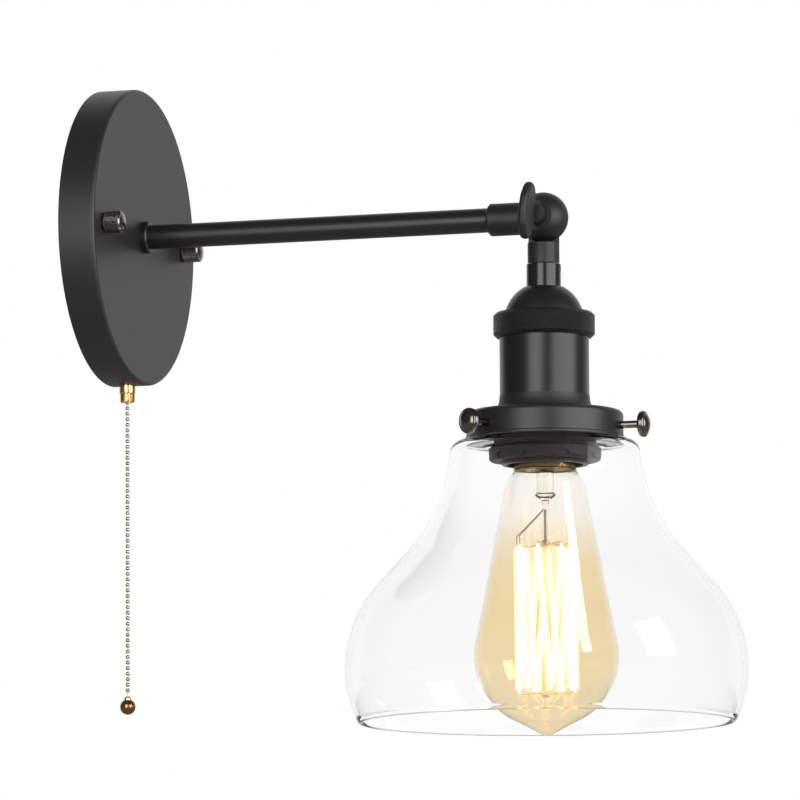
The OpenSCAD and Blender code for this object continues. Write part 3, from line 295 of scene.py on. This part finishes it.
# The bulb's glass is clear at its neck and amber from a third of its height down
stem_glass = material("stem_glass", (1, 0.97, 0.92), 0, 0.02, Transmission_Weight=1.0, IOR=1.45)
amber = material("amber_glass", (1, 0.9, 0.7), 0, 0.0, Transmission_Weight=1.0, IOR=1.42)
at, xyz = place(amber)
ramp = add(amber, "ShaderNodeValToRGB")
depth = calc(amber, "DIVIDE", calc(amber, "SUBTRACT", -0.105, xyz[2]), 0.1)
amber.node_tree.links.new(depth, ramp.inputs[0])
stops = ramp.color_ramp.elements
stops[0].position, stops[0].color = 0.0, (1, 0.985, 0.955, 1)
stops[1].position, stops[1].color = 1.0, (0.97, 0.87, 0.68, 1)
for where, tint in ((0.14, (1, 0.97, 0.92, 1)), (0.34, (0.97, 0.87, 0.66, 1)),
                    (0.5, (0.96, 0.85, 0.62, 1)), (0.84, (0.97, 0.875, 0.685, 1))):
    stops.new(where).color = tint
drive(amber, "Base Color", ramp.outputs[0])

# The filament burns; its supports get a painted glow where they run near it
glow = material("filament_glow", (1, 0.7, 0.3), 0, 0.5,
                Emission_Color=(1.0, 0.8, 0.4, 1), Emission_Strength=9.0)
hook = material("support_wire", (0.45, 0.4, 0.36), 1, 0.35, Emission_Color=(1.0, 0.72, 0.36, 1))
at, xyz = place(hook)
near = between(hook, xyz[2], -0.192, -0.131, 0.003)
drive(hook, "Emission Strength", calc(hook, "MULTIPLY", near, 0.8))

FINISH = {
    "canopy": satin_pan, "mounting_bracket": steel, "mounting_studs": steel, "stud_nuts": steel,
    "cap_nuts": nickel_knurl, "ground_screw": green_metal, "arm_lock_washer": steel,
    "arm_lock_nut": steel, "arm_collar": satin, "arm_tube": satin, "switch_case": phenolic,
    "switch_cover": phenolic, "switch_terminals": brass, "switch_ratchet": brass,
    "switch_plunger": steel, "switch_spring": steel, "switch_nozzle": brass, "nozzle_nut": brass,
    "chain_tail": bead, "pull_chain": bead, "chain_connector": brass, "chain_ball": bronze,
    "live_lead": black_skin, "switched_lead": black_skin, "neutral_lead": white_skin,
    "ground_lead": green_skin, "wire_connectors": orange, "knuckle_arm_half": cast,
    "knuckle_lamp_half": cast, "friction_washer": fibre, "wing_washer": cast,
    "wing_screw": cast, "stem_coupling": polished, "coupling_screw": satin,
    "threaded_nipple": steel, "nipple_nut": steel, "socket_cap": satin, "knurled_ring": knurled,
    "socket_shell": shell_black, "lampholder_base": porcelain, "lampholder_skirt": phenolic,
    "terminal_screws": brass, "screw_shell": brass, "centre_contact": copper,
    "lamp_leads": black_skin, "flared_collar": cast, "shade_holder": satin_low,
    "thumbscrew_1": nickel, "thumbscrew_2": nickel, "thumbscrew_3": nickel, "ring_nut": nut_black,
    "glass_shade": clear, "bulb_cap": brass, "bulb_insulator": phenolic, "bulb_contact": steel,
    "bulb_glass": amber, "bulb_stem": stem_glass, "filament_support": hook, "filament": glow,
}
for name, o in NODES.items():
    o.data.materials.clear()
    o.data.materials.append(FINISH[name])


# Blown and drawn glass as fine surfaces of revolution about the lamp's axis
def arc(cx, cz, r, a0, a1, n):
    return [(cx + r * math.cos(math.radians(a0 + (a1 - a0) * i / n)),
             cz + r * math.sin(math.radians(a0 + (a1 - a0) * i / n))) for i in range(n + 1)]


def shown(name, points, faces, finish, body):
    mesh = bpy.data.meshes.new(name)
    mesh.from_pydata(points, [], faces)
    mesh.update()
    for f in mesh.polygons:
        f.use_smooth = True
    o = bpy.data.objects.new(name, mesh)
    bpy.context.collection.objects.link(o)
    mesh.materials.append(finish)
    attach(o, body)
    return o


def revolved(name, profile, finish, body, node, around=192, closed=True):
    steps = [(math.cos(2 * math.pi * i / around), math.sin(2 * math.pi * i / around))
             for i in range(around)]
    points, rings = [], []
    for r, z in profile:
        if r < 1e-6:
            rings.append([len(points)] * around)
            points.append((0, PIVOT_Y, z * mm))
        else:
            rings.append(list(range(len(points), len(points) + around)))
            points += [(r * mm * c, PIVOT_Y + r * mm * s, z * mm) for c, s in steps]
    faces = []
    pairs = [(k, k + 1) for k in range(len(rings) - 1)]
    if closed:
        pairs.append((len(rings) - 1, 0))
    for a, b in pairs:
        for i in range(around):
            j = (i + 1) % around
            quad = [rings[a][i], rings[a][j], rings[b][j], rings[b][i]]
            face = [v for k, v in enumerate(quad) if v != quad[k - 1]]
            if len(face) > 2:
                faces.append(face)
    o = shown(name, points, faces, finish, body)
    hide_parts(node)
    return o


def shade_side(o, n):
    bx, bz, br, rr, fa, fl, wr, sr, top = 79.8, -180.0, 50.0, 45.4, 42.2, 16.0, 72.8, 5.0, -89.3
    rim_a = math.degrees(math.asin(20.8 / rr))
    low = arc(bx - rr, bz, rr - o, -rim_a, 0, n)
    high = arc(bx - br, bz, br - o, 0, fa, n)
    s, c = math.sin(math.radians(fa)), math.cos(math.radians(fa))
    outer = (bx - br + br * c, bz + br * s)
    end = (outer[0] - fl * s, outer[1] + fl * c)
    centre = (end[0] - o * c + (wr + o) * c, end[1] - o * s + (wr + o) * s)
    sz = top - sr
    wa = math.degrees(math.asin((centre[1] - sz) / (wr + o)))
    waist = arc(centre[0], centre[1], wr + o, 180 + fa, 180 + wa, 2 * n)
    wall = waist[-1][0]
    shoulder = arc(wall - sr + o, sz, sr - o, 0, 90, n)
    return low + high[1:] + waist + shoulder[1:], rim_a


T = 2.2
side, rim_a = shade_side(0, 14)
inside, _ = shade_side(T, 14)
ra = math.radians(rim_a)
rim = arc(79.8 - 45.4 + (45.4 - T / 2) * math.cos(ra), -180.0 - (45.4 - T / 2) * math.sin(ra),
          T / 2, 180 - rim_a, 360 - rim_a, 10)
lip = arc(28.6 - 1.1, -79.3 - 1.1, 1.1, -90, 90, 10)
profile = side + [(27.2, -89.3), (27.2, -81.5)] + lip + [(25.0, -79.3), (25.0, -91.5)] \
    + inside[::-1] + rim[1:-1]
shade = revolved("shade_glass", profile, clear, "lamp", "glass_shade")


BULB_Z, BULB_C, BULB_R, LEAN = -101.4, -175.0, 28.7, math.radians(11.3)


def curved(a, b, c, n):
    return [((1 - t) ** 2 * a[0] + 2 * t * (1 - t) * b[0] + t * t * c[0],
             (1 - t) ** 2 * a[1] + 2 * t * (1 - t) * b[1] + t * t * c[1])
            for t in [i / n for i in range(n + 1)]]


def bulb_side(o):
    ball = arc(0, BULB_C, BULB_R - o, -58, 11.3, 40)
    tip = BULB_C - BULB_R - 2.9 + o
    point = [(0, tip), (1.1, tip + 0.1), (2.1, tip + 0.42), (3.0, tip + 0.9)]
    hollow = curved((3.8, tip + 1.45), (8.6, tip + 4.2), ball[0], 10)[:-1]
    x0, z0 = BULB_R * math.cos(LEAN) - o, BULB_C + BULB_R * math.sin(LEAN)
    top_z = BULB_Z - 6.5
    flank = [(x0 - math.tan(LEAN) * (z - z0), z)
             for z in [z0 + (top_z - z0) * i / 30 for i in range(1, 31)]]
    top = flank[-1]
    neck = curved(top, (top[0] - 0.75, BULB_Z - 2.8), (12.6 - o, BULB_Z - 0.5), 8)[1:]
    return point + hollow + ball + flank + neck


outer = bulb_side(0)
inner = bulb_side(0.7)
foot = [(11.9, BULB_Z - 0.1), (11.9, BULB_Z + 3.5), (11.2, BULB_Z + 3.5), (11.2, BULB_Z - 0.3)]
bulb = revolved("bulb_envelope", outer + foot + inner[::-1], amber, "lamp", "bulb_glass",
                closed=False)

# The burning filament's glow: a thin halo round each of its legs
CAGE_N, CAGE_TURN = 15, 133
CAGE = [(11.4 if k % 2 == 0 else 11.7, math.radians(CAGE_TURN + 360 * k / CAGE_N),
         BULB_Z - 31.1 - (0 if k % 2 == 0 else 56.4)) for k in range(CAGE_N)]
CAGE = [Vector((r * mm * math.cos(a), PIVOT_Y + r * mm * math.sin(a), z * mm)) for r, a, z in CAGE]


def halo(name, radius, finish, around=16):
    points, faces = [], []
    for a, b in zip(CAGE, CAGE[1:]):
        axis = (b - a).normalized()
        x = axis.cross(Vector((1, 0, 0))).normalized()
        y = axis.cross(x)
        first = len(points)
        for end in (a + axis * 0.001, b - axis * 0.001):
            for i in range(around):
                t = 2 * math.pi * i / around
                points.append(end + (x * math.cos(t) + y * math.sin(t)) * radius)
        for i in range(around):
            j = (i + 1) % around
            faces.append((first + i, first + j, first + around + j, first + around + i))
    return shown(name, points, faces, finish, "lamp")


haze = material("filament_haze", (0, 0, 0), 0, 1.0, Specular_IOR_Level=0.0,
                Emission_Color=(1.0, 0.8, 0.42, 1), Emission_Strength=4.0)
facing = add(haze, "ShaderNodeLayerWeight")
inward = calc(haze, "SUBTRACT", 1.0, facing.outputs["Facing"])
drive(haze, "Alpha", calc(haze, "MULTIPLY", calc(haze, "POWER", inward, 2.0), 0.45))
halo("filament_halo", 0.0016, haze)

# The CAD pieces: smooth where they curve, sharp at their edges
for o in NODES.values():
    if o.hide_render:
        continue
    for f in o.data.polygons:
        f.use_smooth = True
    weld = o.modifiers.new("weld", "WELD")
    weld.merge_threshold = 2e-6
    split = o.modifiers.new("edges", "EDGE_SPLIT")
    split.split_angle = math.radians(28)
    flat = o.modifiers.new("flats", "WEIGHTED_NORMAL")
    flat.weight = 80

# The return spring, which closes up on its lower end as the chain is pulled, gets its own copy of
# the mesh and rides with the wall body
spring = bpy.data.objects.new("return_spring", NODES["switch_spring"].data.copy())
bpy.context.collection.objects.link(spring)
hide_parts("switch_spring")
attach(spring, "wall_body")
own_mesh(spring)


# The metal is lit by the two large boxes, the glass by the small one
def lights_only(lights, pieces, name):
    group = bpy.data.collections.new(name)
    for piece in pieces:
        group.objects.link(piece)
    for light in lights:
        light.light_linking.receiver_collection = group


GLASS = [shade, bulb, NODES["bulb_stem"]]
lights_only([GLASS_BOX], GLASS, "lit_by_glass_box")
lights_only(BOXES, [o for o in bpy.context.scene.objects
                    if o.type == "MESH" and o not in GLASS], "lit_by_boxes")

# Pale floor, far below the lamp
mesh = bpy.data.meshes.new("floor")
mesh.from_pydata([(x, y, -0.75) for x, y in ((-6, -6), (6, -6), (6, 6), (-6, 6))], [],
                 [(0, 1, 2, 3)])
floor = bpy.data.objects.new("floor", mesh)
bpy.context.collection.objects.link(floor)
pale = material("floor", (0.85, 0.85, 0.85), 0, 0.9, Emission_Color=(1, 1, 1, 1))
rays = add(pale, "ShaderNodeLightPath").outputs
backdrop = calc(pale, "MAXIMUM", rays["Is Camera Ray"], rays["Is Transmission Ray"])
drive(pale, "Emission Strength", calc(pale, "MULTIPLY", backdrop, 0.5))
mesh.materials.append(pale)
